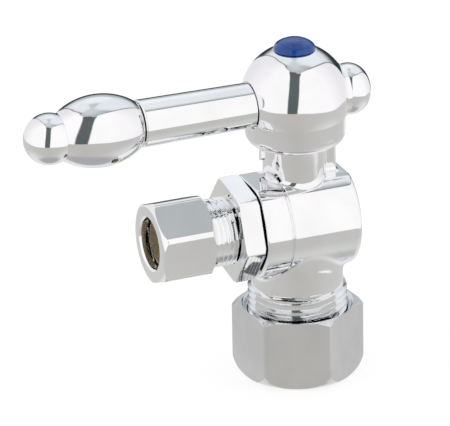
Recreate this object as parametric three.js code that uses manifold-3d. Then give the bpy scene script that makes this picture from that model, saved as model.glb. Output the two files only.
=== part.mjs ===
// Quarter-turn angle stop valve: compression inlet below, compression outlet to the side, lever on top.
// Millimetres, +Z up. The origin is the centre of the inlet nut's lower face; the inlet runs up the Z
// axis, the outlet runs out along +X, and the lever lies above the outlet when the valve is open.
import * as THREE from 'three';
import { mergeVertices } from 'three/addons/utils/BufferGeometryUtils.js';
import Module from 'manifold-3d';

const wasm = await Module();
wasm.setup();

// ---- driving dimensions ----
const GAP = 0.3;                  // running or seating clearance between two pieces
const FINE = 32;                  // facets round a large outside turning
const COARSE = 24;                // facets round an inside turning or a small piece

const OUTLET_Z = 33.7;            // height of the outlet axis and of the ball's centre
const INLET_THREAD_R = 10.32;     // 13/16-18 compression thread, major radius
const OUTLET_THREAD_R = 7.14;     // 9/16-24 compression thread, major radius
const INLET_TUBE_R = 8.05;        // socket for 5/8 inch outside diameter tube
const OUTLET_TUBE_R = 4.8;        // socket for 3/8 inch outside diameter tube
const INLET_STOP_Z = 20.0;        // ledge that the inlet tube stops against
const OUTLET_STOP_X = 15.2;       // ledge that the outlet tube stops against
const MALE_END_Z = 8.5;           // lower end of the inlet thread
const MALE_END_X = 26.0;          // outer end of the outlet thread

const BODY_R = 11.0;              // round body, along X
const BODY_REAR_X = -10.3;
const BODY_FRONT_X = 10.8;
const BODY_FLAT_Z = 43.3;         // flat milled along the top of the body
const LEG_R = 9.5;                // leg between the inlet thread and the body
const BODY_BORE_R = 6.6;          // bore that takes the ball, both seats and the adapter
const NECK_R = 6.05;
const NECK_TOP_Z = 54.5;
const NECK_BORE_R = 4.2;
const BALL_R = 6.2;
const PORT_R = 3.0;

const HANDLE_Z = 60.4;            // lever axis
const HUB_R = 11.1;               // ball-shaped hub
const HUB_Z = 60.7;               // centre of the hub's ball
const SKIRT_R = 10.3;
const HUB_BOTTOM_Z = 51.0;
const STOP_INNER_R = 6.5;
const STOP_OUTER_R = 8.6;
const POST_HALF_ANGLE = 8;        // degrees
const LUG_HALF_ANGLE = 12;
const CLOSED_POST_ANGLE = 180;    // azimuth of the post that stops the lever when shut
const LEVER_TURN = 90;
const STOP_SLACK = 1;             // degrees left between lug and post at each limit

// ---- materials ----
function finish(color, roughness, metalness) {
  return new THREE.MeshStandardMaterial({ color, roughness, metalness });
}
const chrome = finish(0xd9dcdd, 0.08, 1);
const brass = finish(0xb8935a, 0.3, 1);
const steel = finish(0xb4b6b8, 0.35, 1);
const ptfe = finish(0xf1f0ea, 0.55, 0);
const rubber = finish(0x1c1c1d, 0.7, 0);
const bluePlastic = finish(0x1d4fa0, 0.12, 0);

// ---- shape helpers ----
// A closed geometry as a solid, with its shared corners joined and its faces turned outwards.
function toSolid(geometry) {
  geometry.deleteAttribute('normal');
  geometry.deleteAttribute('uv');
  const merged = mergeVertices(geometry, 1e-4);
  const points = merged.attributes.position.array;
  const corners = merged.index.array;
  const a = new THREE.Vector3();
  const b = new THREE.Vector3();
  const c = new THREE.Vector3();
  const kept = [];
  let volume = 0;
  for (let i = 0; i < corners.length; i += 3) {
    const [p, q, r] = corners.slice(i, i + 3);
    if (p === q || q === r || r === p) continue;
    kept.push(p, q, r);
    a.fromArray(points, 3 * p);
    b.fromArray(points, 3 * q);
    c.fromArray(points, 3 * r);
    volume += a.dot(b.cross(c));
  }
  if (volume < 0) kept.reverse();
  return new wasm.Manifold(new wasm.Mesh({
    numProp: 3,
    vertProperties: new Float32Array(points),
    triVerts: new Uint32Array(kept),
  }));
}

// A turned solid about the Z axis. The profile is a list of [radius, height].
function turnedZ(profile, facets = FINE) {
  const closed = profile[0][0] > 0 ? [...profile, profile[0]] : profile;
  const outline = closed.map(([radius, height]) => new THREE.Vector2(radius, height));
  return toSolid(new THREE.LatheGeometry(outline, facets).rotateX(Math.PI / 2));
}

// A turned solid about an axis parallel to X, at the given height. The profile is [radius, x].
function turnedX(profile, height = OUTLET_Z, facets = FINE) {
  const closed = profile[0][0] > 0 ? [...profile, profile[0]] : profile;
  const outline = closed.map(([radius, x]) => new THREE.Vector2(radius, x));
  const geometry = new THREE.LatheGeometry(outline, facets).rotateZ(-Math.PI / 2);
  return toSolid(geometry.translate(0, 0, height));
}

function box(x0, x1, y0, y1, z0, z1) {
  const geometry = new THREE.BoxGeometry(x1 - x0, y1 - y0, z1 - z0);
  return toSolid(geometry.translate((x0 + x1) / 2, (y0 + y1) / 2, (z0 + z1) / 2));
}

// Points of an arc in a profile: centre, radius, and the two angles in degrees.
function arc(radius, height, size, fromDegrees, toDegrees, steps) {
  const points = [];
  for (let i = 0; i <= steps; i += 1) {
    const angle = THREE.MathUtils.degToRad(fromDegrees + ((toDegrees - fromDegrees) * i) / steps);
    points.push([radius + size * Math.cos(angle), height + size * Math.sin(angle)]);
  }
  return points;
}

// A hexagonal bar along Z with rounded corners; the first corner stands at the given angle.
function hexBar(acrossFlats, cornerRound, cornerDegrees, z0, z1) {
  const cornerR = (acrossFlats / 2 - cornerRound) / Math.cos(Math.PI / 6);
  const outline = [];
  for (let i = 0; i < 6; i += 1) {
    const middle = cornerDegrees + 60 * i;
    const angle = THREE.MathUtils.degToRad(middle);
    for (const step of [-30, 0, 30]) {
      const turn = THREE.MathUtils.degToRad(middle + step);
      outline.push(new THREE.Vector2(
        cornerR * Math.cos(angle) + cornerRound * Math.cos(turn),
        cornerR * Math.sin(angle) + cornerRound * Math.sin(turn),
      ));
    }
  }
  const options = { depth: z1 - z0, bevelEnabled: false };
  return new THREE.ExtrudeGeometry(new THREE.Shape(outline), options).translate(0, 0, z0);
}

// The same bar laid along X at the outlet's height; its corner angle runs from +Y towards +Z.
function hexBarX(acrossFlats, cornerRound, cornerDegrees, x0, x1) {
  const geometry = hexBar(acrossFlats, cornerRound, cornerDegrees, x0, x1);
  return toSolid(geometry.rotateX(Math.PI / 2).rotateZ(Math.PI / 2).translate(0, 0, OUTLET_Z));
}

// A sector of a ring about the Z axis, between two azimuths in degrees.
function sector(innerR, outerR, fromDegrees, toDegrees, z0, z1) {
  const from = THREE.MathUtils.degToRad(fromDegrees);
  const to = THREE.MathUtils.degToRad(toDegrees);
  const shape = new THREE.Shape();
  shape.absarc(0, 0, outerR, from, to, false);
  shape.absarc(0, 0, innerR, to, from, true);
  const options = { depth: z1 - z0, bevelEnabled: false, curveSegments: 4 };
  return toSolid(new THREE.ExtrudeGeometry(shape, options).translate(0, 0, z0));
}

function ringProfile(innerR, outerR, low, high) {
  return [[innerR, low], [outerR, low], [outerR, high], [innerR, high]];
}

const valve = new THREE.Group();

function addPiece(name, solid, material) {
  const { vertProperties, triVerts } = solid.getMesh();
  const geometry = new THREE.BufferGeometry();
  geometry.setAttribute('position', new THREE.BufferAttribute(vertProperties, 3));
  geometry.setIndex(new THREE.BufferAttribute(triVerts, 1));
  const mesh = new THREE.Mesh(geometry, material);
  mesh.name = name;
  valve.add(mesh);
}

// ---- valve body: a brass forging with the leg, the round body, the neck and two stop posts ----
const rearStopAngles = {
  closed: CLOSED_POST_ANGLE + POST_HALF_ANGLE + LUG_HALF_ANGLE + STOP_SLACK,
  open: CLOSED_POST_ANGLE + POST_HALF_ANGLE + LUG_HALF_ANGLE + STOP_SLACK + LEVER_TURN,
};
const OPEN_POST_ANGLE = rearStopAngles.open + POST_HALF_ANGLE + LUG_HALF_ANGLE + STOP_SLACK;

function valveBody() {
  const leg = turnedZ([
    [0, MALE_END_Z],
    [9.75, MALE_END_Z],
    [INLET_THREAD_R, MALE_END_Z + 0.6],
    [INLET_THREAD_R, 19.4],
    [LEG_R, 19.9],
    [LEG_R, OUTLET_Z - 4],
    [0, OUTLET_Z - 4],
  ]);
  const round = turnedX([
    [0, BODY_REAR_X],
    ...arc(BODY_R - 0.9, BODY_REAR_X + 0.9, 0.9, -90, 0, 3),
    [BODY_R, 5.0],
    [BODY_R - 0.2, 5.2],
    [BODY_R - 0.2, BODY_FRONT_X - 0.5],
    [BODY_R - 0.7, BODY_FRONT_X],
    [0, BODY_FRONT_X],
  ]);
  const flatCutter = box(-20, 20, -20, 20, BODY_FLAT_Z, 60);
  const neck = turnedZ([
    [0, OUTLET_Z],
    [NECK_R + 0.6, OUTLET_Z],
    [NECK_R + 0.6, BODY_FLAT_Z + 0.1],
    [NECK_R, BODY_FLAT_Z + 0.7],
    [NECK_R, NECK_TOP_Z - 0.5],
    [NECK_R - 0.5, NECK_TOP_Z],
    [0, NECK_TOP_Z],
  ]);
  let solid = round.subtract(flatCutter).add(leg).add(neck);
  for (const [angle, reach] of [[CLOSED_POST_ANGLE, 8.8], [OPEN_POST_ANGLE, 8.1]]) {
    const from = angle - POST_HALF_ANGLE;
    const to = angle + POST_HALF_ANGLE;
    solid = solid.add(sector(NECK_R - 1, reach, from, to, BODY_FLAT_Z - 1, 50.4));
  }
  const ballChamber = turnedX(ringProfile(0, BODY_BORE_R, -7.2, 20), OUTLET_Z, COARSE);
  const stemBore = turnedZ([
    [0, OUTLET_Z],
    [5.7, OUTLET_Z],
    [5.7, 42.0],
    [NECK_BORE_R, 42.0],
    [NECK_BORE_R, 60],
    [0, 60],
  ], COARSE);
  const inletBore = turnedZ([
    [0, 0],
    [9.6, 0],
    [9.45, MALE_END_Z],
    [INLET_TUBE_R, MALE_END_Z + 2.1],
    [INLET_TUBE_R, INLET_STOP_Z],
    [5.2, INLET_STOP_Z],
    [5.2, OUTLET_Z],
    [0, OUTLET_Z],
  ], COARSE);
  return solid.subtract(ballChamber).subtract(stemBore).subtract(inletBore);
}
addPiece('valve_body', valveBody(), chrome);

// ---- outlet side: adapter screwed into the body, its O-ring, and the two ball seats ----
const TAIL_R = BODY_BORE_R - GAP;

function outletAdapter() {
  const outside = turnedX([
    [0, 7.2],
    [TAIL_R, 7.2],
    [TAIL_R, 8.6],
    [TAIL_R - 1.25, 8.6],
    [TAIL_R - 1.25, 10.4],
    [TAIL_R, 10.4],
    [TAIL_R, 15.9],
    [OUTLET_THREAD_R, 16.2],
    [OUTLET_THREAD_R, MALE_END_X - 0.5],
    [6.7, MALE_END_X],
    [0, MALE_END_X],
  ], OUTLET_Z, COARSE);
  const collarTurning = turnedX([
    [0, 11.2],
    [10.3, 11.2],
    [11.1, 11.6],
    [11.1, 15.1],
    [10.6, 15.5],
    [0, 15.5],
  ]);
  const collar = hexBarX(19.05, 0.4, 111, 11.2, 15.5).intersect(collarTurning);
  const passage = turnedX([
    [0, 0],
    [3.5, 0],
    [3.5, OUTLET_STOP_X],
    [OUTLET_TUBE_R, OUTLET_STOP_X],
    [OUTLET_TUBE_R, MALE_END_X - 1.4],
    [5.75, MALE_END_X],
    [6.1, 30],
    [0, 30],
  ], OUTLET_Z, COARSE);
  return outside.add(collar).subtract(passage);
}
addPiece('outlet_adapter', outletAdapter(), chrome);

const oRing = (centreR, height, sectionR) => arc(centreR, height, sectionR, 0, 300, 5);
addPiece('adapter_o_ring', turnedX(oRing(TAIL_R - 0.5, 9.5, 0.5), OUTLET_Z, COARSE), rubber);

const SEAT_SPHERE_R = BALL_R + GAP;

// One ball seat: a plastic ring with a hollow face that follows the ball. side is +1 or -1 along X.
function ballSeat(side) {
  const hollow = [5.4, 4.5, 3.6].map((radius) => {
    const x = Math.sqrt(SEAT_SPHERE_R ** 2 - radius ** 2);
    return [radius, side * x];
  });
  return turnedX([
    [3.6, side * 6.9],
    [TAIL_R, side * 6.9],
    [TAIL_R, hollow[0][1]],
    ...hollow,
  ], OUTLET_Z, COARSE);
}
addPiece('outlet_seat', ballSeat(1), ptfe);
addPiece('rear_seat', ballSeat(-1), ptfe);

// ---- ball and stem: an L-ported ball, turned by the stem's tang in the slot on its top ----
const SLOT_FLOOR_Z = 37.9;
const SLOT_WIDTH = 2.6;

function ball() {
  const sphere = turnedX([
    ...arc(0, 0, BALL_R, -90, 90, 10).map(([radius, x]) => [Math.max(radius, 0), x]),
  ], OUTLET_Z, COARSE);
  const inletPort = turnedZ(ringProfile(0, PORT_R, OUTLET_Z - 10, OUTLET_Z), COARSE);
  const outletPort = turnedX(ringProfile(0, PORT_R, 0, 10), OUTLET_Z, COARSE);
  const portEnd = turnedX([
    ...arc(0, 0, PORT_R, -90, 90, 4).map(([radius, x]) => [Math.max(radius, 0), x]),
  ], OUTLET_Z, COARSE);
  const slot = box(-9, 9, -SLOT_WIDTH / 2, SLOT_WIDTH / 2, SLOT_FLOOR_Z, OUTLET_Z + 9);
  return sphere.subtract(inletPort).subtract(outletPort).subtract(portEnd).subtract(slot);
}
addPiece('ball', ball(), chrome);

const FLANGE_TOP_Z = 41.0;
const STEM_R = NECK_BORE_R - GAP;
const STEM_TOP_Z = 65.0;
const DRIVE_SIDE = 5.4;
const O_RING_HEIGHTS = [46.2, 51.2];

function stem() {
  const grooves = O_RING_HEIGHTS.flatMap((height) => [
    [STEM_R, height - 0.8],
    [2.6, height - 0.8],
    [2.6, height + 0.8],
    [STEM_R, height + 0.8],
  ]);
  const turned = turnedZ([
    [0, FLANGE_TOP_Z - 0.7],
    [5.2, FLANGE_TOP_Z - 0.7],
    [5.2, FLANGE_TOP_Z],
    [STEM_R, FLANGE_TOP_Z],
    ...grooves,
    [STEM_R, 55.2],
    [0, 55.2],
  ], COARSE);
  const tangHalf = SLOT_WIDTH / 2 - GAP;
  const tang = box(-3.2, 3.2, -tangHalf, tangHalf, SLOT_FLOOR_Z + GAP, FLANGE_TOP_Z - 0.4);
  const half = DRIVE_SIDE / 2;
  const drive = box(-half, half, -half, half, 55, STEM_TOP_Z);
  const tappedHole = turnedZ(ringProfile(0, 2.05, 59.5, 70), COARSE);
  return turned.add(tang).add(drive).subtract(tappedHole);
}
addPiece('stem', stem(), brass);
addPiece('stem_thrust_washer', turnedZ(ringProfile(4.25, 5.3, 41.3, 41.7), COARSE), ptfe);
addPiece('stem_o_ring_lower', turnedZ(oRing(3.4, O_RING_HEIGHTS[0], 0.5), COARSE), rubber);
addPiece('stem_o_ring_upper', turnedZ(oRing(3.4, O_RING_HEIGHTS[1], 0.5), COARSE), rubber);

// ---- inlet compression nut and ferrule ----
function inletNut() {
  const bar = toSolid(hexBar(23.8, 0.6, 36.5, 0, 15));
  const turning = turnedZ([
    [0, 0],
    [10.8, 0],
    [12.1, 0.5],
    [13.0, 1.5],
    [13.5, 2.7],
    [13.8, 4.4],
    [13.8, 14.2],
    [12.6, 15],
    [0, 15],
  ]);
  const bore = turnedZ([
    [0, -1],
    [8.15, -1],
    [8.15, 2.0],
    [INLET_THREAD_R + 0.33, 4.4],
    [INLET_THREAD_R + 0.33, 14.0],
    [11.4, 15.0],
    [11.4, 16],
    [0, 16],
  ]);
  return bar.intersect(turning).subtract(bore);
}
addPiece('inlet_nut', inletNut(), chrome);
addPiece('inlet_ferrule', turnedZ([
  [8.05, 2.9],
  [8.35, 2.9],
  [9.15, 4.3],
  [9.15, 7.2],
  [8.35, 9.0],
  [8.05, 9.0],
]), brass);

// ---- outlet compression nut and ferrule ----
function outletNut() {
  const bar = hexBarX(16.1, 1.0, 22.5, 21.0, 32.6);
  const turning = turnedX([
    [0, 21.0],
    [8.2, 21.0],
    [9.3, 21.7],
    [9.3, 31.1],
    [8.9, 31.8],
    [8.2, 32.3],
    [7.4, 32.6],
    [0, 32.6],
  ]);
  const bore = turnedX([
    [0, 20],
    [7.75, 20],
    [7.75, 21.0],
    [OUTLET_THREAD_R + 0.31, 21.6],
    [OUTLET_THREAD_R + 0.31, 29.4],
    [5.35, 31.0],
    [5.35, 34],
    [0, 34],
  ]);
  return bar.intersect(turning).subtract(bore);
}
addPiece('outlet_nut', outletNut(), chrome);
addPiece('outlet_ferrule', turnedX([
  [4.85, 26.2],
  [5.05, 26.2],
  [5.6, 27.2],
  [5.6, 29.6],
  [5.05, 30.5],
  [4.85, 30.5],
], OUTLET_Z, COARSE), brass);

// ---- handle hub: a ball on a round skirt, with a stop lug hanging behind the neck ----
const SEAT_Z = 70.9;              // small flat on top of the ball, under the index button
const LEVER_SEAT_X = 9.6;         // bottom of the spot face that the lever arm stands in
const BOSS_R = 5.5;               // raised seat of the rear finial
const BOSS_X = -10.6;
const ARM_R = 4.65;
const STUD_R = 2.0;

function handleHub() {
  const skirtMeet = -Math.acos(SKIRT_R / HUB_R);
  const topMeet = Math.asin((SEAT_Z - HUB_Z) / HUB_R);
  const toDegrees = THREE.MathUtils.radToDeg;
  const shell = turnedZ([
    [0, HUB_BOTTOM_Z],
    ...arc(SKIRT_R - 2.4, HUB_BOTTOM_Z + 2.4, 2.4, -90, 0, 5),
    ...arc(0, HUB_Z, HUB_R, toDegrees(skirtMeet), toDegrees(topMeet), 10),
    [0, SEAT_Z],
  ]);
  const boss = turnedX(ringProfile(0, BOSS_R, BOSS_X, 0), HANDLE_Z, COARSE);
  const lugFrom = rearStopAngles.open - LUG_HALF_ANGLE;
  const lugTo = rearStopAngles.open + LUG_HALF_ANGLE;
  const lug = sector(STOP_INNER_R, STOP_OUTER_R, lugFrom, lugTo, 48.6, HUB_BOTTOM_Z + 1.5);
  const neckRoom = turnedZ(ringProfile(0, STOP_INNER_R, 45, 56.2), COARSE);
  const socketHalf = DRIVE_SIDE / 2 + GAP;
  const socket = box(-socketHalf, socketHalf, -socketHalf, socketHalf, 55, STEM_TOP_Z + GAP);
  const screwHole = turnedZ(ringProfile(0, 2.3, 60, 68), COARSE);
  const pocket = turnedZ(ringProfile(0, 3.75, 65.9, 80), COARSE);
  const leverSeat = turnedX(ringProfile(0, ARM_R + GAP, LEVER_SEAT_X, 20), HANDLE_Z, COARSE);
  const leverHole = turnedX(ringProfile(0, STUD_R + GAP, 5.2, 20), HANDLE_Z, COARSE);
  const finialHole = turnedX(ringProfile(0, STUD_R + GAP, -20, -5.2), HANDLE_Z, COARSE);
  let solid = shell.add(boss).add(lug);
  for (const cut of [neckRoom, socket, screwHole, pocket, leverSeat, leverHole, finialHole]) {
    solid = solid.subtract(cut);
  }
  return solid;
}
addPiece('handle_hub', handleHub(), chrome);

addPiece('screw_lock_washer', turnedZ(ringProfile(2.1, 3.2, 66.2, 66.7), COARSE), steel);

function handleScrew() {
  const turned = turnedZ([
    [0, 60.2],
    [1.4, 60.2],
    [1.75, 60.6],
    [1.75, 67.0],
    [3.3, 67.0],
    [3.3, 68.6],
    [2.4, 69.4],
    [0, 69.4],
  ], COARSE);
  const slot = box(-5, 5, -0.4, 0.4, 68.6, 72);
  return turned.subtract(slot);
}
addPiece('handle_screw', handleScrew(), steel);

// ---- index button: a plug that snaps into the hub's pocket under a domed head ----
addPiece('index_button', turnedZ([
  [0, 69.9],
  [3.1, 69.9],
  [3.45, 70.2],
  [3.45, SEAT_Z + 0.1],
  [4.3, SEAT_Z + 0.1],
  [4.3, 71.5],
  [3.8, 72.15],
  [3.1, 72.6],
  [2.0, 73.05],
  [0, 73.3],
], COARSE), bluePlastic);

// ---- lever: tapered arm with a stud at each end, turned grip, and the finial behind the hub ----
const ARM_START_X = LEVER_SEAT_X + GAP;
const ARM_END_X = 34.3;
const GRIP_START_X = ARM_END_X + GAP;
const CREASE_X = 51.3;
const CREASE_R = 4.85;
const END_BALL_R = 5.3;
const END_BALL_X = 53.5;

addPiece('lever_arm', turnedX([
  [0, 5.6],
  [STUD_R, 5.6],
  [STUD_R, ARM_START_X],
  [ARM_R, ARM_START_X],
  [4.9, ARM_END_X],
  [2.5, ARM_END_X],
  [2.5, 39.5],
  [0, 39.5],
], HANDLE_Z), chrome);

function leverGrip() {
  const swellR = 14.48;
  const swellX = 42.95;
  const swellOffset = -7.03;
  const toAngle = (x) => THREE.MathUtils.radToDeg(Math.asin((x - swellX) / swellR));
  const ballStart = THREE.MathUtils.radToDeg(Math.asin((CREASE_X - END_BALL_X) / END_BALL_R));
  const outside = turnedX([
    [0, GRIP_START_X],
    [4.3, GRIP_START_X],
    ...arc(swellOffset, swellX, swellR, toAngle(GRIP_START_X + 0.3), toAngle(CREASE_X), 10),
    ...arc(0, END_BALL_X, END_BALL_R, ballStart, 90, 6).map(([r, x]) => [Math.max(r, 0), x]),
  ], HANDLE_Z);
  const socket = turnedX(ringProfile(0, 2.8, 30, 40), HANDLE_Z, COARSE);
  return outside.subtract(socket);
}
addPiece('lever_grip', leverGrip(), chrome);

function rearFinial() {
  const headR = 5.35;
  const headX = -11.95;
  const halfLength = 4.05;
  const head = [];
  for (let i = 0; i <= 8; i += 1) {
    const angle = THREE.MathUtils.degToRad(15 - (i * 105) / 8);
    head.push([headR * Math.cos(angle), headX + halfLength * Math.sin(angle)]);
  }
  head[8][0] = 0;
  return turnedX([
    [0, -5.6],
    [STUD_R, -5.6],
    [STUD_R, BOSS_X - GAP],
    ...head,
  ], HANDLE_Z);
}
addPiece('rear_finial', rearFinial(), chrome);

export default valve;
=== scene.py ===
from math import asin, cos, degrees, hypot, pi, radians, sin, sqrt

import bpy
from mathutils import Matrix, Vector


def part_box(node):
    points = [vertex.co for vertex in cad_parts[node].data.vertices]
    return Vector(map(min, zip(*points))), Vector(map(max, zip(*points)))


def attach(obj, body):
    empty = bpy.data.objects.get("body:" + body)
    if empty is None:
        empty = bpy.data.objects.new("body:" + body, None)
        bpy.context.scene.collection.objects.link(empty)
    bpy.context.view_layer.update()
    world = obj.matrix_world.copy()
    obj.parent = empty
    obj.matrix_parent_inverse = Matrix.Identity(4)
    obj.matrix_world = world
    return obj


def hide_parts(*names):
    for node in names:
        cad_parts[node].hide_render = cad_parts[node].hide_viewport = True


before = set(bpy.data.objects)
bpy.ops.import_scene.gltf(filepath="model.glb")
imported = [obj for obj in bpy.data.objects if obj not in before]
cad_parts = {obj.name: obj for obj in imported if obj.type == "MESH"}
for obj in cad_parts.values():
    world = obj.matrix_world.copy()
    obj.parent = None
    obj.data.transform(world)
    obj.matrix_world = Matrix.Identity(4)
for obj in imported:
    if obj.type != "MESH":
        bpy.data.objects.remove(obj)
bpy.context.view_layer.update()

# ---------------------------------------------------------------------------------------------
# Camera: a long lens a metre off, a little above the valve, with the outlet and the lever
# running to the left and towards the lens, and leaning one degree as a hand-held one does.
# ---------------------------------------------------------------------------------------------
MM = 0.001
CAMERA_AZIMUTH = radians(158.0)
CAMERA_ELEVATION = radians(23.0)
CAMERA_ROLL = radians(-1.05)
CAMERA_DISTANCE = 1.03
LENS = 400.0
VIEW_RIGHT = -14.7  # mm, the middle of the view from the inlet's axis
VIEW_UP = 1.0  # mm, the same from the outlet's axis

outlet_nut_low, outlet_nut_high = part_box("outlet_nut")
OUTLET_Z = (outlet_nut_low.z + outlet_nut_high.z) / 2
to_camera = Vector((
    sin(CAMERA_AZIMUTH) * cos(CAMERA_ELEVATION),
    -cos(CAMERA_AZIMUTH) * cos(CAMERA_ELEVATION),
    sin(CAMERA_ELEVATION),
))
level_right = Vector((cos(CAMERA_AZIMUTH), sin(CAMERA_AZIMUTH), 0.0))
level_up = to_camera.cross(level_right)
camera_right = level_right * cos(CAMERA_ROLL) + level_up * sin(CAMERA_ROLL)
camera_up = level_up * cos(CAMERA_ROLL) - level_right * sin(CAMERA_ROLL)
aim = Vector((0.0, 0.0, OUTLET_Z)) + camera_right * VIEW_RIGHT * MM + camera_up * VIEW_UP * MM

camera = bpy.data.objects.new("camera", bpy.data.cameras.new("camera"))
bpy.context.scene.collection.objects.link(camera)
bpy.context.scene.camera = camera
camera.data.lens = LENS
camera.data.clip_start = 0.05
camera.data.clip_end = 20.0
turn = Matrix((camera_right, camera_up, to_camera)).transposed()
camera.matrix_world = Matrix.Translation(aim + to_camera * CAMERA_DISTANCE) @ turn.to_4x4()


# ---------------------------------------------------------------------------------------------
# Studio: a white table, a tall soft box at each side with a dark gap between them on the camera's
# side, a grey ceiling, and darkness low down at the back. The plate mirrors all of it.
# ---------------------------------------------------------------------------------------------
def rgba(hex_colour):
    """sRGB hex as a linear colour."""
    channels = [int(hex_colour[i:i + 2], 16) / 255 for i in (1, 3, 5)]
    linear = [c / 12.92 if c <= 0.04045 else ((c + 0.055) / 1.055) ** 2.4 for c in channels]
    return (*linear, 1.0)


def add_node(tree, kind, inputs=None, **settings):
    """Adds a node, sets its properties, and fills or links its inputs by name or number."""
    node = tree.nodes.new(kind)
    for name, value in settings.items():
        setattr(node, name, value)
    for key, value in (inputs or {}).items():
        if isinstance(value, bpy.types.NodeSocket):
            tree.links.new(value, node.inputs[key])
        else:
            node.inputs[key].default_value = value
    return node


def set_ramp(ramp_node, stops, interpolation="LINEAR"):
    """Fills a colour ramp from a list of (position, hex colour)."""
    ramp = ramp_node.color_ramp
    ramp.interpolation = interpolation
    while len(ramp.elements) < len(stops):
        ramp.elements.new(0.5)
    for element, (position, colour) in zip(ramp.elements, stops):
        element.position = position
        element.color = rgba(colour)


def curve(tree, value, points, low, high):
    """A float curve through points of (angle, result), both in degrees. The angle comes in as 0-1
    over a full turn, and the result leaves in degrees, from low to high."""
    node = add_node(tree, "ShaderNodeFloatCurve", {"Value": value})
    line = node.mapping.curves[0]
    places = [((x + 180) / 360, (y - low) / (high - low)) for x, y in points]
    while len(line.points) < len(places):
        line.points.new(0.5, 0.5)
    for point, place in zip(line.points, places):
        point.location = place
        point.handle_type = "AUTO_CLAMPED"
    node.mapping.update()
    scaled = add_node(tree, "ShaderNodeMapRange", {
        "Value": node.outputs["Value"], "To Min": float(low), "To Max": float(high),
    }, clamp=False)
    return scaled.outputs["Result"]


def soft_step(tree, value, threshold, width):
    """0 well below the threshold and 1 well above it; everything in degrees."""
    over = add_node(tree, "ShaderNodeMath", {0: value, 1: threshold}, operation="SUBTRACT")
    return add_node(tree, "ShaderNodeMapRange", {
        "Value": over.outputs[0], "From Min": -width / 2, "From Max": width / 2,
    }, interpolation_type="SMOOTHSTEP").outputs["Result"]


def blend(tree, factor, first, second):
    """Mixes two colours or sockets by a factor."""
    return add_node(
        tree, "ShaderNodeMix", {"Factor": factor, 6: first, 7: second}, data_type="RGBA",
    ).outputs[2]


def times(tree, first, second):
    return add_node(tree, "ShaderNodeMath", {0: first, 1: second}, operation="MULTIPLY").outputs[0]


STUDIO_GAIN = 1.08
SOFT_EDGE = 1.6  # degrees over which one part of the studio gives way to the next
GAP_EDGE = 3.0

world = bpy.data.worlds.new("studio")
bpy.context.scene.world = world
world.use_nodes = True
tree = world.node_tree
tree.nodes.clear()
ray = add_node(tree, "ShaderNodeTexCoord").outputs["Generated"]
front = add_node(
    tree, "ShaderNodeVectorMath", {0: ray, 1: (sin(CAMERA_AZIMUTH), -cos(CAMERA_AZIMUTH), 0.0)},
    operation="DOT_PRODUCT",
).outputs["Value"]
side = add_node(
    tree, "ShaderNodeVectorMath", {0: ray, 1: tuple(level_right)}, operation="DOT_PRODUCT",
).outputs["Value"]
height = add_node(tree, "ShaderNodeSeparateXYZ", {0: ray}).outputs["Z"]

# where a ray goes: round from the lens (right is positive) and up from level, in degrees
around = add_node(tree, "ShaderNodeMath", {0: side, 1: front}, operation="ARCTAN2").outputs[0]
around = add_node(tree, "ShaderNodeMath", {0: around}, operation="DEGREES").outputs[0]
up = add_node(tree, "ShaderNodeMath", {0: height}, operation="ARCSINE").outputs[0]
up = add_node(tree, "ShaderNodeMath", {0: up}, operation="DEGREES").outputs[0]
away = add_node(tree, "ShaderNodeMath", {0: around}, operation="ABSOLUTE").outputs[0]
full_turn = {"From Min": -180.0, "From Max": 180.0}
around_part = add_node(tree, "ShaderNodeMapRange", {"Value": around, **full_turn}).outputs["Result"]
up_part = add_node(tree, "ShaderNodeMapRange", {"Value": up, **full_turn}).outputs["Result"]
away_part = add_node(tree, "ShaderNodeMapRange", {"Value": away, **full_turn}).outputs["Result"]

# the upper edge of the soft boxes, and the table's far edge
box_top = curve(tree, around_part, [
    (-180, -22), (-170, -12), (-160, 3), (-150, 28), (-140, 47), (-130, 57), (-120, 65),
    (-110, 70), (-90, 74), (-60, 74), (-25, 73), (0, 73), (20, 68), (40, 68.5), (60, 67),
    (80, 63.5), (90, 60), (100, 55), (110, 49), (120, 41), (130, 31), (138, 19), (145, 2),
    (150, -16), (160, -21), (180, -22),
], -90, 90)
table_edge = curve(tree, around_part, [
    (-180, -20), (-135, -15), (-90, -16), (-45, -18), (-20, -17), (10, -17), (45, -20), (90, -22.5),
    (120, -19.5), (138, -20), (150, -23), (180, -23),
], -90, 90)

# the dark gap between the boxes, with its two edges leaning apart as it climbs
gap_left = curve(tree, up_part, [
    (-180, -17), (-20, -17), (0, -16), (30, -15), (50, -17), (60, -20), (67, -26), (74, -34),
    (180, -34),
], -90, 90)
gap_right = curve(tree, up_part, [
    (-180, 4), (-20, 4), (0, 6), (30, 10), (45, 13), (55, 17), (62, 22), (68, 32), (180, 34),
], -90, 90)
in_gap = times(
    tree, soft_step(tree, around, gap_left, GAP_EDGE), soft_step(tree, gap_right, around, GAP_EDGE),
)

# soft boxes, a little dimmer towards the back
box_tone = add_node(tree, "ShaderNodeValToRGB", {"Fac": away_part})
set_ramp(box_tone, [(0.5, "#fffdfc"), (0.72, "#fffcfd"), (0.86, "#eeebee"), (1.0, "#e6e6ea")])
gap_tone = add_node(tree, "ShaderNodeValToRGB", {"Fac": up_part})
set_ramp(gap_tone, [(0.45, "#59605f"), (0.55, "#5e6566"), (0.66, "#5d6467"), (0.7, "#565b5f")])
walls = blend(tree, in_gap, box_tone.outputs["Color"], gap_tone.outputs["Color"])

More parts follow.
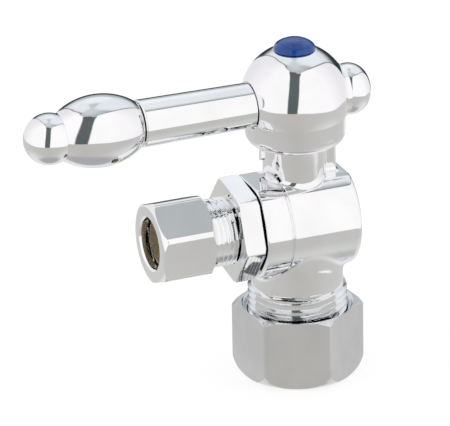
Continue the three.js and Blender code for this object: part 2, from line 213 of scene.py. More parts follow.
# ceiling: grey in front, pale further back, dark low down behind, with a dark line along the boxes
ceiling = add_node(tree, "ShaderNodeValToRGB", {"Fac": up_part})
set_ramp(ceiling, [(0.5, "#aeb3b6"), (0.70, "#b4babb"), (0.735, "#cbd0d3")])
back_sides = add_node(tree, "ShaderNodeValToRGB", {"Fac": up_part})
set_ramp(back_sides, [
    (0.4, "#4a5152"), (0.5, "#2f3638"), (0.52, "#3a4143"), (0.54, "#9aa2a5"), (0.565, "#d9dfe5"),
    (0.61, "#eaedf2"), (0.71, "#e6e9ee"), (0.735, "#cbd0d3"),
])
back_middle = add_node(tree, "ShaderNodeValToRGB", {"Fac": up_part})
set_ramp(back_middle, [
    (0.4, "#3a4142"), (0.5, "#2f3638"), (0.515, "#3a4143"), (0.535, "#aab1b4"), (0.57, "#c2c8cb"),
    (0.585, "#f2f4f8"), (0.655, "#eef0f4"), (0.68, "#c3c9cc"), (0.735, "#cbd0d3"),
])
back = blend(
    tree, soft_step(tree, away, 166.0, 8.0), back_sides.outputs["Color"],
    back_middle.outputs["Color"],
)
overhead = blend(tree, soft_step(tree, away, 98.0, 26.0), ceiling.outputs["Color"], back)
rim = add_node(tree, "ShaderNodeMath", {0: up, 1: box_top}, operation="SUBTRACT").outputs[0]
rim = add_node(tree, "ShaderNodeMapRange", {
    "Value": rim, "From Min": 5.0, "From Max": 1.0,
}, interpolation_type="SMOOTHSTEP").outputs["Result"]
rim_where = times(tree, soft_step(tree, away, 75.0, 20.0), soft_step(tree, 165.0, away, 20.0))
overhead = blend(tree, times(tree, rim, rim_where), overhead, rgba("#767d80"))
studio = blend(tree, soft_step(tree, up, box_top, SOFT_EDGE), walls, overhead)

# the table as the plate sees it: greyest towards the lens, paler low down behind, and a darker grey
# straight down, which is painted shadow: the valve's own shade on the table beneath it
table = add_node(tree, "ShaderNodeValToRGB", {"Fac": away_part})
set_ramp(table, [(0.5, "#bdbbb7"), (0.75, "#c6c5c3"), (1.0, "#cfcecd")])
under = soft_step(tree, -40.0, up, 20.0)
to_lens = add_node(tree, "ShaderNodeMapRange", {
    "Value": front, "From Min": 0.5, "From Max": -0.35,
}).outputs["Result"]
table = blend(tree, times(tree, under, to_lens), table.outputs["Color"], rgba("#e6e5e4"))
# painted shadow: darker grey straight down for the valve's shade on the table under it
table = blend(tree, soft_step(tree, -66.0, up, 16.0), table, rgba("#a9aaad"))
studio = blend(tree, soft_step(tree, up, table_edge, SOFT_EDGE), table, studio)

light = add_node(
    tree, "ShaderNodeBackground", {"Color": studio, "Strength": STUDIO_GAIN},
).outputs["Background"]
paper = add_node(tree, "ShaderNodeBackground", {"Color": rgba("#ffffff")}).outputs["Background"]
is_camera = add_node(tree, "ShaderNodeLightPath").outputs["Is Camera Ray"]
seen = add_node(tree, "ShaderNodeMixShader", {0: is_camera, 1: light, 2: paper}).outputs["Shader"]
add_node(tree, "ShaderNodeOutputWorld", {"Surface": seen})
bpy.context.scene.view_settings.view_transform = "Standard"

# the table top: plain white, softly lit, and left out of what the plate mirrors
TABLE_SIZE = 6.0
TABLE_GAP = 0.2  # mm below the nut
bpy.ops.object.select_all(action="DESELECT")
bpy.ops.mesh.primitive_plane_add(size=TABLE_SIZE, location=(0.0, 0.0, -TABLE_GAP * MM))
table_top = bpy.context.active_object
table_top.name = "table_top"
table_top.visible_glossy = False  # what the plate mirrors of a table is in the studio itself
white_paper = bpy.data.materials.new("white_paper")
white_paper.use_nodes = True
shader = white_paper.node_tree.nodes["Principled BSDF"]
shader.inputs["Base Color"].default_value = rgba("#959595")
shader.inputs["Roughness"].default_value = 1.0
shader.inputs["Specular IOR Level"].default_value = 0.0
shader.inputs["Emission Color"].default_value = rgba("#ffffff")
shader.inputs["Emission Strength"].default_value = 0.78
table_top.data.materials.append(white_paper)


# ---------------------------------------------------------------------------------------------
# Valve body: a brass forging, bored and turned, then polished and chrome plated. Mirror bright,
# with soft blends where the leg, the round body and the neck run into each other.
# ---------------------------------------------------------------------------------------------
def deselect_all():
    if bpy.context.object and bpy.context.object.mode != "OBJECT":
        bpy.ops.object.mode_set(mode="OBJECT")
    bpy.ops.object.select_all(action="DESELECT")


def pick(piece):
    """Makes one object the only one selected, and active."""
    deselect_all()
    piece.select_set(True)
    bpy.context.view_layer.objects.active = piece


def turn_profile(name, profile, axis="Z", height=0.0, steps=128):
    """A turned solid: one point drawn out along a profile of (radius, place along the axis) in mm,
    then spun round the axis. The profile starts and ends on the axis, or closes on itself."""
    def place(point):
        radius, along = point
        if axis == "Z":
            return Vector((radius, 0.0, along)) * MM
        return Vector((along, 0.0, height + radius)) * MM

    closed = profile[0][0] > 0
    deselect_all()
    bpy.ops.mesh.primitive_circle_add(vertices=3, radius=0.1 * MM, location=place(profile[0]))
    piece = bpy.context.active_object
    piece.name = name
    bpy.ops.object.transform_apply(location=True, rotation=False, scale=False)
    bpy.ops.object.mode_set(mode="EDIT")
    bpy.ops.mesh.select_mode(type="VERT")
    bpy.ops.mesh.select_all(action="SELECT")
    bpy.ops.mesh.merge(type="CENTER")
    route = profile + ([profile[0]] if closed else [])
    for here, there in zip(route, route[1:]):
        step = place(there) - place(here)
        bpy.ops.mesh.extrude_vertices_move(TRANSFORM_OT_translate={"value": step})
    bpy.ops.mesh.select_all(action="SELECT")
    spin_axis = (0.0, 0.0, 1.0) if axis == "Z" else (1.0, 0.0, 0.0)
    bpy.ops.mesh.spin(
        steps=steps, angle=2 * pi, center=(0.0, 0.0, height * MM), axis=spin_axis, dupli=False,
    )
    bpy.ops.mesh.select_all(action="SELECT")
    bpy.ops.mesh.remove_doubles(threshold=0.0005 * MM)
    bpy.ops.mesh.normals_make_consistent(inside=False)
    bpy.ops.object.mode_set(mode="OBJECT")
    return piece


def carve(piece, tool, operation="DIFFERENCE"):
    """Cuts, joins or trims a piece with a tool, which is used up."""
    pick(piece)
    boolean = piece.modifiers.new("carve", "BOOLEAN")
    boolean.operation = operation
    boolean.solver = "EXACT"
    boolean.object = tool
    bpy.ops.object.modifier_apply(modifier=boolean.name)
    bpy.data.objects.remove(tool)
    return piece


def arc_points(radius, along, size, start, stop, count):
    """Points of a round stretch of a profile; angles in degrees, 0 away from the axis."""
    turn_by = (stop - start) / count
    angles = [radians(start + turn_by * i) for i in range(count + 1)]
    return [(max(radius + size * cos(a), 0.0), along + size * sin(a)) for a in angles]


def finish_piece(piece, node, body, material):
    """Gives a finished piece its material and its body, and hides the CAD node it stands for."""
    piece.data.materials.clear()
    piece.data.materials.append(material)
    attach(piece, body)
    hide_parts(node)
    return piece


def plate(name, tint, low, high, ripple_depth):
    """Chrome plate over brass that was polished or milled: a cold mirror, with a faint ripple left
    by the wheel and a little haze in places, whose roughness runs from low to high."""
    haze_size, ripple_size = 9.0, 3.5
    material = bpy.data.materials.new(name)
    material.use_nodes = True
    tree = material.node_tree
    shader = tree.nodes["Principled BSDF"]
    shader.inputs["Metallic"].default_value = 1.0
    grain = add_node(tree, "ShaderNodeTexCoord").outputs["Object"]
    haze = add_node(
        tree, "ShaderNodeTexNoise", {"Vector": grain, "Scale": 1 / (haze_size * MM), "Detail": 4.0},
    ).outputs["Fac"]
    tone = add_node(tree, "ShaderNodeValToRGB", {"Fac": haze})
    set_ramp(tone, [(0.35, tint[0]), (0.65, tint[1])])
    dullness = add_node(tree, "ShaderNodeMapRange", {
        "Value": haze, "From Min": 0.3, "From Max": 0.7, "To Min": low, "To Max": high,
    }).outputs["Result"]
    ripple = add_node(tree, "ShaderNodeTexNoise", {
        "Vector": grain, "Scale": 1 / (ripple_size * MM), "Detail": 1.0,
    }).outputs["Fac"]
    relief = add_node(tree, "ShaderNodeBump", {
        "Height": ripple, "Strength": 0.3, "Distance": ripple_depth * MM,
    }).outputs["Normal"]
    tree.links.new(tone.outputs["Color"], shader.inputs["Base Color"])
    tree.links.new(dullness, shader.inputs["Roughness"])
    tree.links.new(relief, shader.inputs["Normal"])
    return material


chrome_plate = plate("chrome plate on polished brass", ("#eeeff0", "#f5f6f7"), 0.03, 0.08, 0.02)

# sizes in mm
outlet_z = OUTLET_Z / MM
round_r = 11.0
leg_r = 9.5
neck_r = 6.05
flat_z = 43.3
post_low, post_high = 41.0, 50.4
post_width = 2.2
post_round = 0.45
groove_x = 5.0
groove_deep, turned_deep = 0.5, 0.2
chamber_r = 6.6
stem_r = 4.2
tube_r = 8.05
water_r = 5.2

# the round body, with its rear edge rounded and its top cut flat
forging = turn_profile("valve_body", [
    (0.0, -10.3), *arc_points(round_r - 1.0, -9.3, 1.0, -90, 0, 6), (round_r, 10.3),
    (round_r - 0.5, 10.8), (0.0, 10.8),
], axis="X", height=outlet_z)
bpy.ops.object.mode_set(mode="EDIT")
bpy.ops.mesh.select_all(action="SELECT")
bpy.ops.mesh.bisect(
    plane_co=(0.0, 0.0, flat_z * MM), plane_no=(0.0, 0.0, 1.0), use_fill=True, clear_outer=True,
)
bpy.ops.object.mode_set(mode="OBJECT")
leg = turn_profile("leg", [(0.0, 18.6), (leg_r, 18.6), (leg_r, 33.0), (0.0, 33.0)])
neck = turn_profile("neck", [
    (0.0, 34.0), (neck_r, 34.0), (neck_r, 54.1), (neck_r - 0.4, 54.5), (0.0, 54.5),
])


def stop_post(angle, reach):
    """One of the two posts beside the neck that stop the lever; angle from +X in degrees."""
    deselect_all()
    bpy.ops.mesh.primitive_cube_add(size=1.0)
    post = bpy.context.active_object
    inner = neck_r - 1.5
    post.scale = ((reach - inner) * MM, post_width * MM, (post_high - post_low) * MM)
    bpy.ops.object.transform_apply(location=False, rotation=False, scale=True)
    bpy.ops.object.mode_set(mode="EDIT")
    bpy.ops.mesh.select_all(action="SELECT")
    bpy.ops.mesh.bevel(offset=post_round * MM, segments=3)
    bpy.ops.object.mode_set(mode="OBJECT")
    middle_r = (reach + inner) / 2
    post.location = (
        middle_r * cos(radians(angle)) * MM, middle_r * sin(radians(angle)) * MM,
        (post_low + post_high) / 2 * MM,
    )
    post.rotation_euler = (0.0, 0.0, radians(angle))
    bpy.ops.object.transform_apply(location=True, rotation=True, scale=False)
    return post


posts = [stop_post(180, 8.7), stop_post(312, 8.0)]
pick(forging)
for part in (leg, neck, *posts):
    part.select_set(True)
bpy.ops.object.join()

# the forging's skin: one closed surface, with the corners blended as hot metal fills them
remesh = forging.modifiers.new("forged skin", "REMESH")
remesh.mode = "VOXEL"
remesh.voxel_size = 0.25 * MM
bpy.ops.object.modifier_apply(modifier=remesh.name)
polish = forging.modifiers.new("polish", "SMOOTH")
polish.factor = 0.5
polish.iterations = 8
bpy.ops.object.modifier_apply(modifier=polish.name)


def blend_where(piece, near, repeat):
    """Smooths the vertices that a test picks by place (mm), which rounds the corner they lie on."""
    pick(piece)
    bpy.ops.object.mode_set(mode="EDIT")
    bpy.ops.mesh.select_mode(type="VERT")
    bpy.ops.mesh.select_all(action="DESELECT")
    bpy.ops.object.mode_set(mode="OBJECT")
    for vertex in piece.data.vertices:
        vertex.select = near(vertex.co / MM)
    bpy.ops.object.mode_set(mode="EDIT")
    bpy.ops.mesh.vertices_smooth(factor=0.5, repeat=repeat)
    bpy.ops.object.mode_set(mode="OBJECT")


def at_leg_corner(p):
    near_leg = abs(hypot(p.x, p.y) - leg_r) < 1.9
    near_round = abs(hypot(p.y, p.z - outlet_z) - round_r) < 1.9
    return p.z < outlet_z - 3 and near_leg and near_round


def at_neck_corner(p):
    return hypot(p.x, p.y) < 9.4 and abs(p.z - flat_z) < 0.8


blend_where(forging, at_leg_corner, 36)
blend_where(forging, at_neck_corner, 6)


def threaded_bar(name, root, crest, pitch, low, high, axis="Z", height=0.0, steps=96):
    """A solid right-hand thread: one tooth wound up the axis, then cut off square at both ends."""
    deselect_all()
    start = low - 2 * pitch
    tooth = [(root, 0.0), (root, 0.10), (crest, 0.43), (crest, 0.55), (root, 0.88), (root, 1.0)]
    bpy.ops.mesh.primitive_circle_add(
        vertices=3, radius=0.1 * MM, location=(root * MM, 0.0, start * MM),
    )
    piece = bpy.context.active_object
    piece.name = name
    bpy.ops.object.transform_apply(location=True, rotation=False, scale=False)
    bpy.ops.object.mode_set(mode="EDIT")
    bpy.ops.mesh.select_mode(type="VERT")
    bpy.ops.mesh.select_all(action="SELECT")
    bpy.ops.mesh.merge(type="CENTER")
    for (r0, t0), (r1, t1) in zip(tooth, tooth[1:]):
        step = Vector((r1 - r0, 0.0, (t1 - t0) * pitch)) * MM
        bpy.ops.mesh.extrude_vertices_move(TRANSFORM_OT_translate={"value": step})
    bpy.ops.object.mode_set(mode="OBJECT")
    screw = piece.modifiers.new("thread", "SCREW")
    screw.angle = 2 * pi
    screw.screw_offset = pitch * MM
    screw.iterations = int((high - low) / pitch) + 5
    screw.steps = steps
    screw.render_steps = steps
    bpy.ops.object.modifier_apply(modifier=screw.name)
    bpy.ops.object.mode_set(mode="EDIT")
    bpy.ops.mesh.select_all(action="SELECT")
    bpy.ops.mesh.remove_doubles(threshold=0.001 * MM)
    for end, outward in ((low, -1.0), (high, 1.0)):
        bpy.ops.mesh.select_all(action="SELECT")
        bpy.ops.mesh.bisect(
            plane_co=(0.0, 0.0, end * MM), plane_no=(0.0, 0.0, outward), use_fill=True,
            clear_outer=True,
        )
    bpy.ops.mesh.select_all(action="SELECT")
    bpy.ops.mesh.normals_make_consistent(inside=False)
    bpy.ops.object.mode_set(mode="OBJECT")
    if axis == "X":
        piece.rotation_euler = (0.0, pi / 2, 0.0)
        piece.location = (0.0, 0.0, height * MM)
        bpy.ops.object.transform_apply(location=True, rotation=True, scale=False)
    return piece


# the male inlet thread, 13/16-18, chamfered at its end and run out against the leg
inlet_pitch = 25.4 / 18
outlet_pitch = 25.4 / 24
inlet_thread = threaded_bar("inlet_thread", 9.35, 10.3, inlet_pitch, 8.5, 20.2)
carve(inlet_thread, turn_profile("chamfer", [
    (0.0, 8.0), (9.2, 8.0), (9.6, 8.5), (10.4, 9.4), (10.4, 19.2), (9.52, 19.9), (9.3, 20.2),
    (0.0, 20.2),
]), "INTERSECT")
carve(forging, inlet_thread, "UNION")

# machining: the outlet end is turned down with a fine groove, then the bores are cut
turning = turn_profile("turned end", [
    (round_r - groove_deep, groove_x), (round_r - groove_deep, groove_x + 0.16),
    (round_r - turned_deep, groove_x + 0.4), (round_r - turned_deep, 13.0), (13.0, 13.0),
    (13.0, groove_x - 0.3), (round_r + 0.02, groove_x - 0.3),
], axis="X", height=outlet_z, steps=160)
pick(turning)
bpy.ops.object.mode_set(mode="EDIT")
bpy.ops.mesh.select_all(action="SELECT")
bpy.ops.mesh.bisect(
    plane_co=(0.0, 0.0, OUTLET_Z - 6.9 * MM), plane_no=(0.0, 0.0, 1.0), use_fill=True,
    clear_inner=True,
)
bpy.ops.object.mode_set(mode="OBJECT")
carve(forging, turning)
carve(forging, turn_profile("ball chamber", [
    (0.0, -7.2), (chamber_r, -7.2), (chamber_r, 20.0), (0.0, 20.0),
], axis="X", height=outlet_z, steps=96))
carve(forging, turn_profile("stem bore", [
    (0.0, 34.0), (5.7, 34.0), (5.7, 42.0), (stem_r, 42.0), (stem_r, 60.0), (0.0, 60.0),
], steps=96))
carve(forging, turn_profile("inlet bore", [
    (0.0, 0.0), (9.3, 0.0), (9.3, 8.5), (tube_r, 10.6), (tube_r, 20.0), (water_r, 20.0),
    (water_r, outlet_z), (0.0, outlet_z),
], steps=96))
pick(forging)
bpy.ops.object.shade_smooth_by_angle(angle=radians(32))
finish_piece(forging, "valve_body", "valve_body", chrome_plate)


# ---------------------------------------------------------------------------------------------
# Outlet adapter: turned from hexagonal brass bar, so its collar keeps the bar's flats, with a
# 9/16-24 thread in front and a tail that screws into the body. Chrome plated like the body.
# ---------------------------------------------------------------------------------------------
def hex_bar(name, across_flats, corner_round, corner_angle, low, high, axis="Z"):
    """A hexagonal bar in mm with rounded corners, its first corner at the given angle."""
    deselect_all()
    bpy.ops.mesh.primitive_cylinder_add(
        vertices=6, radius=across_flats / sqrt(3) * MM, depth=(high - low) * MM,
        location=(0.0, 0.0, (low + high) / 2 * MM), rotation=(0.0, 0.0, radians(corner_angle - 90)),
    )
    bar = bpy.context.active_object
    bar.name = name
    bpy.ops.object.transform_apply(location=True, rotation=True, scale=False)
    bpy.ops.object.mode_set(mode="EDIT")
    bpy.ops.mesh.select_mode(type="EDGE")
    bpy.ops.mesh.select_all(action="DESELECT")
    bpy.ops.object.mode_set(mode="OBJECT")
    corners = [v.co for v in bar.data.vertices]
    for bar_edge in bar.data.edges:
        ends = [corners[i] for i in bar_edge.vertices]
        bar_edge.select = abs(ends[0].z - ends[1].z) > 0.5 * (high - low) * MM
    bpy.ops.object.mode_set(mode="EDIT")
    bpy.ops.mesh.bevel(
        offset=corner_round * sin(radians(30)) / cos(radians(30)) * MM, segments=8, profile=0.5,
    )
    bpy.ops.object.mode_set(mode="OBJECT")
    if axis == "X":
        bar.rotation_euler = (pi / 2, 0.0, pi / 2)
        bar.location = (0.0, 0.0, OUTLET_Z)
        bpy.ops.object.transform_apply(location=True, rotation=True, scale=False)
    return bar


def bright_edges(piece, width=0.12, sharp=26, smooth=38):
    """Breaks the edges a little and keeps the flats flat in what they mirror."""
    pick(piece)
    bevel = piece.modifiers.new("broken edges", "BEVEL")
    bevel.width = width * MM
    bevel.segments = 2
    bevel.limit_method = "ANGLE"
    bevel.angle_limit = radians(sharp)
    bpy.ops.object.modifier_apply(modifier=bevel.name)
    bpy.ops.object.shade_smooth_by_angle(angle=radians(smooth))
    weighted = piece.modifiers.new("flat flats", "WEIGHTED_NORMAL")
    weighted.weight = 60
    weighted.keep_sharp = True
    bpy.ops.object.modifier_apply(modifier=weighted.name)
    return piece


collar_flats = 19.05
adapter = hex_bar("outlet_adapter", collar_flats, 0.35, 111, 11.2, 15.5, axis="X")
carve(adapter, turn_profile("collar turning", [
    (0.0, 11.2), (10.5, 11.2), (11.1, 11.55), (11.1, 15.15), (10.6, 15.5), (0.0, 15.5),
], axis="X", height=outlet_z), "INTERSECT")
outlet_thread = threaded_bar(
    "outlet_thread", 6.5, 7.12, outlet_pitch, 15.0, 26.0, axis="X", height=outlet_z,
)
carve(outlet_thread, turn_profile("thread turning", [
    (0.0, 15.2), (6.5, 15.2), (7.3, 16.0), (7.3, 25.3), (6.5, 26.0), (0.0, 26.0),
], axis="X", height=outlet_z), "INTERSECT")
carve(adapter, outlet_thread, "UNION")
carve(adapter, turn_profile("tail", [
    (0.0, 7.2), (6.1, 7.2), (6.3, 7.4), (6.3, 8.6), (5.05, 8.6), (5.05, 10.4), (6.3, 10.4),
    (6.3, 12.0), (0.0, 12.0),
], axis="X", height=outlet_z, steps=96), "UNION")
carve(adapter, turn_profile("passage", [
    (0.0, 5.0), (3.5, 5.0), (3.5, 15.2), (4.8, 15.2), (4.8, 24.6), (5.75, 26.0), (6.1, 30.0),
    (0.0, 30.0),
], axis="X", height=outlet_z, steps=96))
bright_edges(adapter, width=0.08)
finish_piece(adapter, "outlet_adapter", "valve_body", chrome_plate)


# ---------------------------------------------------------------------------------------------
# Inlet compression nut: hexagonal brass bar, chamfered above, its lower end turned to a soft
# round shoulder, threaded inside and chrome plated.
# ---------------------------------------------------------------------------------------------
# milled flats under the plate: a softer, rougher mirror, with a darker tint that is painted shade,
# standing in for the shaded table close under the nut that it mirrors
satin_plate_with_painted_shade = plate("chrome plate on milled brass, darkened as painted shade", ("#dfe0e2", "#e9eaec"), 0.1, 0.17, 0.01)
inlet_flats = 23.8
shoulder_r, shoulder_wide, shoulder_high = 10.8, 3.0, 4.4
inlet_nut = hex_bar("inlet_nut", inlet_flats, 0.6, 36.5, 0.0, 15.0)
shoulder = [
    (
        shoulder_r + shoulder_wide * cos(radians(a)),
        shoulder_high + shoulder_high * sin(radians(a)),
    )
    for a in range(-90, 1, 6)
]
carve(inlet_nut, turn_profile("nut turning", [
    (0.0, 0.0), *shoulder, (13.85, 14.25), (12.65, 15.0), (0.0, 15.0),
], steps=160), "INTERSECT")
carve(inlet_nut, turn_profile("nut bore", [
    (0.0, -1.0), (8.6, -1.0), (8.15, 0.45), (8.15, 2.0), (10.5, 4.4), (10.5, 13.6), (11.6, 15.0),
    (11.6, 16.0), (0.0, 16.0),
]))
carve(inlet_nut, threaded_bar("nut_thread", 10.42, 11.1, inlet_pitch, 6.2, 16.0))
bright_edges(inlet_nut, width=0.1)
finish_piece(inlet_nut, "inlet_nut", "inlet_nut", satin_plate_with_painted_shade)


# ---------------------------------------------------------------------------------------------
# Outlet compression nut: a smaller, longer hexagon for 3/8 inch tube, with its corners buffed
# round, a rounded shoulder at the tube's end, threaded inside and chrome plated.
# ---------------------------------------------------------------------------------------------
outlet_flats = 16.1
outlet_nut = hex_bar("outlet_nut", outlet_flats, 1.3, 22.5, 21.0, 32.6, axis="X")
outlet_shoulder = [
    (7.3 + 1.95 * cos(radians(a)), 30.9 + 1.7 * sin(radians(a))) for a in range(0, 91, 10)
]
carve(outlet_nut, turn_profile("nut turning", [
    (0.0, 21.0), (8.05, 21.0), (9.25, 21.95), *outlet_shoulder, (0.0, 32.6),
], axis="X", height=outlet_z, steps=160), "INTERSECT")
carve(outlet_nut, turn_profile("nut bore", [
    (0.0, 20.0), (7.8, 20.0), (7.8, 21.0), (7.3, 21.6), (7.3, 29.5), (5.35, 31.0), (5.35, 32.2),
    (5.75, 32.6), (5.75, 34.0), (0.0, 34.0),
], axis="X", height=outlet_z, steps=96))
carve(outlet_nut, threaded_bar(
    "nut_thread", 7.22, 7.7, outlet_pitch, 20.0, 28.4, axis="X", height=outlet_z,
))
bright_edges(outlet_nut, width=0.3, sharp=20)
finish_piece(outlet_nut, "outlet_nut", "outlet_nut", chrome_plate)


# ---------------------------------------------------------------------------------------------
# Ferrules: plain turned brass sleeves with a cone at each end, squeezed onto the tube by the
# nuts. Bare brass, turned on the lathe and left unplated.
# ---------------------------------------------------------------------------------------------
# bare brass off the lathe, dulled by handling, so it holds no clear reflection; its pale yellow is
# partly the brass's own colour and partly painted light, made paler to lift the dark inside of the
# outlet nut's bore
bare_brass = bpy.data.materials.new("turned bare brass")
bare_brass.use_nodes = True
tree = bare_brass.node_tree
shader = tree.nodes["Principled BSDF"]
shader.inputs["Metallic"].default_value = 1.0
grain = add_node(tree, "ShaderNodeTexCoord").outputs["Object"]
tone = add_node(
    tree, "ShaderNodeTexNoise", {"Vector": grain, "Scale": 1 / (2.5 * MM), "Detail": 3.0},
).outputs["Fac"]
# pale tone: partly brass colour, partly painted light for the shaded bore
pale_brass_tone_with_painted_light = add_node(tree, "ShaderNodeValToRGB", {"Fac": tone})
set_ramp(pale_brass_tone_with_painted_light, [(0.3, "#d3c6a8"), (0.7, "#e8dcc0")])
dullness = add_node(
    tree, "ShaderNodeMapRange", {"Value": tone, "To Min": 0.6, "To Max": 0.75},
).outputs["Result"]
tree.links.new(pale_brass_tone_with_painted_light.outputs["Color"], shader.inputs["Base Color"])
tree.links.new(dullness, shader.inputs["Roughness"])

inlet_ferrule = turn_profile("inlet_ferrule", [
    (8.05, 2.9), (8.3, 2.9), (9.1, 4.3), (9.15, 4.5), (9.15, 7.1), (9.1, 7.3), (8.3, 9.0),
    (8.05, 9.0),
])
bright_edges(inlet_ferrule, width=0.05)
finish_piece(inlet_ferrule, "inlet_ferrule", "inlet_ferrule", bare_brass)
outlet_ferrule = turn_profile("outlet_ferrule", [
    (4.85, 26.2), (5.05, 26.2), (5.55, 27.1), (5.6, 27.3), (5.6, 29.5), (5.55, 29.7), (5.05, 30.5),
    (4.85, 30.5),
], axis="X", height=outlet_z)
bright_edges(outlet_ferrule, width=0.05)
finish_piece(outlet_ferrule, "outlet_ferrule", "outlet_ferrule", bare_brass)


# ---------------------------------------------------------------------------------------------
# Handle hub: a ball on a round skirt, cast and turned, drilled through for the lever and the
# finial and hollow underneath. Polished to a mirror and chrome plated.
# ---------------------------------------------------------------------------------------------
hub_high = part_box("handle_hub")[1]
lever_z = 60.4
hub_z = 60.7
hub_r = 11.1
skirt_r = 10.3
seat_z = hub_high.z / MM
skirt_meets = -degrees(asin(sqrt(hub_r ** 2 - skirt_r ** 2) / hub_r))
seat_meets = degrees(asin((seat_z - hub_z) / hub_r))
handle_hub = turn_profile("handle_hub", [
    (0.0, 51.0), *arc_points(skirt_r - 2.4, 53.4, 2.4, -90, 0, 12),
    *arc_points(0.0, hub_z, hub_r, skirt_meets, seat_meets, 44), (0.0, seat_z),
], steps=160)
carve(handle_hub, turn_profile("finial seat", [
    (0.0, -10.6), (5.3, -10.6), (5.5, -10.4), (5.5, -4.0), (0.0, -4.0),
], axis="X", height=lever_z), "UNION")
lug_angle, lug_half = 291, 12  # degrees from +X
lug = turn_profile("lug", [(6.0, 48.7), (8.5, 48.7), (8.5, 52.4), (6.0, 52.4)], steps=120)
for side in (-1.0, 1.0):
    angle = lug_angle + side * lug_half
    pick(lug)
    bpy.ops.object.mode_set(mode="EDIT")
    bpy.ops.mesh.select_all(action="SELECT")
    bpy.ops.mesh.bisect(
        plane_co=(0.0, 0.0, 0.0), use_fill=True, clear_outer=True,
        plane_no=(-side * sin(radians(angle)), side * cos(radians(angle)), 0.0),
    )
    bpy.ops.object.mode_set(mode="OBJECT")
carve(handle_hub, turn_profile("hollow", [
    (0.0, 50.0), (6.5, 50.0), (6.5, 56.2), (0.0, 56.2),
], steps=96))
carve(handle_hub, lug, "UNION")
carve(handle_hub, turn_profile("screw pocket", [
    (0.0, 65.9), (3.75, 65.9), (3.75, 72.0), (0.0, 72.0),
], steps=64))
carve(handle_hub, turn_profile("screw hole", [
    (0.0, 50.0), (2.1, 50.0), (2.1, 72.0), (0.0, 72.0),
], steps=48))
carve(handle_hub, turn_profile("lever seat", [
    (0.0, 9.6), (4.95, 9.6), (4.95, 13.0), (0.0, 13.0),
], axis="X", height=lever_z, steps=96))
bright_edges(handle_hub, width=0.08)
finish_piece(handle_hub, "handle_hub", "handle", chrome_plate)


# ---------------------------------------------------------------------------------------------
# Lever: a plain turned arm, a grip that swells out of it and ends in a small ball, and the ball
# headed finial behind the hub. All three turned on the lathe, polished and chrome plated.
# ---------------------------------------------------------------------------------------------
lever_arm = turn_profile("lever_arm", [
    (0.0, 9.9), (4.45, 9.9), (4.65, 10.1), (4.9, 34.0), (4.7, 34.3), (0.0, 34.3),
], axis="X", height=lever_z, steps=160)
bright_edges(lever_arm, width=0.04)
finish_piece(lever_arm, "lever_arm", "handle", chrome_plate)

# the grip's outline: an arc that swells and falls away again, then the end ball's arc
swell_arc, swell_middle, swell_centre = 14.48, 42.95, -7.03
arm_end_r = 4.9
waist_x = 51.2
swell = [
    (swell_centre + sqrt(swell_arc ** 2 - (x / 4 - swell_middle) ** 2), x / 4)
    for x in range(36 * 4, 51 * 4 + 1)
]
grip_ball = arc_points(0.0, 53.5, 5.3, -60, 90, 30)
lever_grip = turn_profile("lever_grip", [
    (0.0, 34.6), (4.7, 34.6), (arm_end_r, 34.8), *[p for p in swell if p[0] > arm_end_r],
    *[p for p in grip_ball if p[1] > waist_x],
], axis="X", height=lever_z, steps=160)
bright_edges(lever_grip, width=0.04)
finish_piece(lever_grip, "lever_grip", "handle", chrome_plate)

finial_ball = arc_points(1.3, -11.95, 4.05, -90, 90, 36)
rear_finial = turn_profile("rear_finial", [
    (0.0, -16.0), *finial_ball, (0.0, -7.9),
], axis="X", height=lever_z, steps=160)
bright_edges(rear_finial, width=0.04)
finish_piece(rear_finial, "rear_finial", "handle", chrome_plate)


# ---------------------------------------------------------------------------------------------
# Index button: a blue plastic cap pressed into the top of the hub over the screw, with a thin
# rim and a shallow dome. Moulded in deep blue acrylic, slightly cloudy below a glossy skin.
# ---------------------------------------------------------------------------------------------
blue_plastic = bpy.data.materials.new("deep blue moulded plastic")
blue_plastic.use_nodes = True
tree = blue_plastic.node_tree
shader = tree.nodes["Principled BSDF"]
shader.inputs["Roughness"].default_value = 0.12
shader.inputs["Specular IOR Level"].default_value = 0.3
shader.inputs["Coat Weight"].default_value = 0.45
shader.inputs["Coat Roughness"].default_value = 0.04
cloud_size, peel_size = 1.6, 0.5
grain = add_node(tree, "ShaderNodeTexCoord").outputs["Object"]
cloud = add_node(
    tree, "ShaderNodeTexNoise", {"Vector": grain, "Scale": 1 / (cloud_size * MM), "Detail": 4.0},
).outputs["Fac"]
dye = add_node(tree, "ShaderNodeValToRGB", {"Fac": cloud})
set_ramp(dye, [(0.3, "#063a86"), (0.7, "#0d4f9f")])
orange_peel = add_node(
    tree, "ShaderNodeTexNoise", {"Vector": grain, "Scale": 1 / (peel_size * MM), "Detail": 2.0},
).outputs["Fac"]
relief = add_node(
    tree, "ShaderNodeBump", {"Height": orange_peel, "Strength": 0.2, "Distance": 0.02 * MM},
).outputs["Normal"]
tree.links.new(dye.outputs["Color"], shader.inputs["Base Color"])
tree.links.new(relief, shader.inputs["Normal"])

index_button = turn_profile("index_button", [
    (0.0, 69.9), (3.1, 69.9), (3.45, 70.2), (3.45, 70.97), (4.05, 70.97), (4.25, 71.08),
    (4.3, 71.25), (4.27, 71.45), (4.1, 71.8), (3.75, 72.17), (3.2, 72.53), (2.5, 72.86),
    (1.7, 73.11), (0.8, 73.26), (0.0, 73.3),
], steps=96)
bright_edges(index_button, width=0.04, sharp=40, smooth=50)
finish_piece(index_button, "index_button", "handle", blue_plastic)


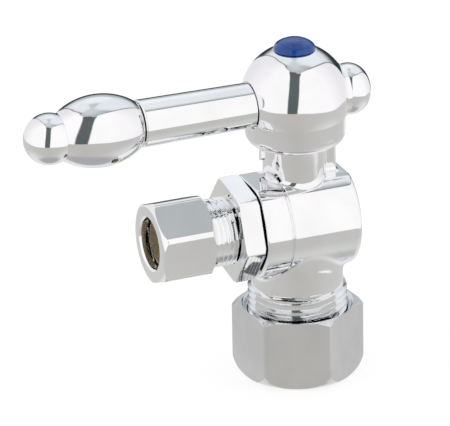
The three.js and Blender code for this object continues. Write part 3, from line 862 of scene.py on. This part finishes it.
# ---------------------------------------------------------------------------------------------
# Parts inside: the plated ball between two white PTFE seats, the machined brass stem with its
# thrust washer and black O-rings, and the zinc plated screw and washer under the index button.
# They keep the shapes they were drawn with and get their own finishes.
# ---------------------------------------------------------------------------------------------
def plain_finish(name, metallic, colours, roughness, grain_size, relief_depth):
    """A finish with two tones and a fine relief, with grain and relief in mm."""
    material = bpy.data.materials.new(name)
    material.use_nodes = True
    tree = material.node_tree
    shader = tree.nodes["Principled BSDF"]
    shader.inputs["Metallic"].default_value = metallic
    grain = add_node(tree, "ShaderNodeTexCoord").outputs["Object"]
    spread = add_node(tree, "ShaderNodeTexNoise", {
        "Vector": grain, "Scale": 1 / (grain_size * MM), "Detail": 4.0,
    }).outputs["Fac"]
    tone = add_node(tree, "ShaderNodeValToRGB", {"Fac": spread})
    set_ramp(tone, [(0.3, colours[0]), (0.7, colours[1])])
    dullness = add_node(tree, "ShaderNodeMapRange", {
        "Value": spread, "To Min": roughness[0], "To Max": roughness[1],
    }).outputs["Result"]
    relief = add_node(tree, "ShaderNodeBump", {
        "Height": spread, "Strength": 0.4, "Distance": relief_depth * MM,
    }).outputs["Normal"]
    tree.links.new(tone.outputs["Color"], shader.inputs["Base Color"])
    tree.links.new(dullness, shader.inputs["Roughness"])
    tree.links.new(relief, shader.inputs["Normal"])
    return material


# moulded PTFE is waxy, rubber nearly matt, and zinc plate a dull cold grey
ptfe = plain_finish("white PTFE", 0.0, ("#eceae4", "#f6f5f1"), (0.35, 0.5), 1.2, 0.01)
rubber = plain_finish("black nitrile rubber", 0.0, ("#141414", "#1f1f1f"), (0.5, 0.7), 0.6, 0.01)
zinc_steel = plain_finish("zinc plated steel", 1.0, ("#a7acb3", "#c3c7cc"), (0.25, 0.4), 0.8, 0.005)
finishes = {
    "ball": chrome_plate, "stem": bare_brass, "rear_seat": ptfe, "outlet_seat": ptfe,
    "stem_thrust_washer": ptfe, "stem_o_ring_lower": rubber, "stem_o_ring_upper": rubber,
    "adapter_o_ring": rubber, "handle_screw": zinc_steel, "screw_lock_washer": zinc_steel,
}
for name, finish in finishes.items():
    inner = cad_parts[name]
    inner.data.materials.clear()
    inner.data.materials.append(finish)
    pick(inner)
    bpy.ops.object.shade_smooth_by_angle(angle=radians(35))
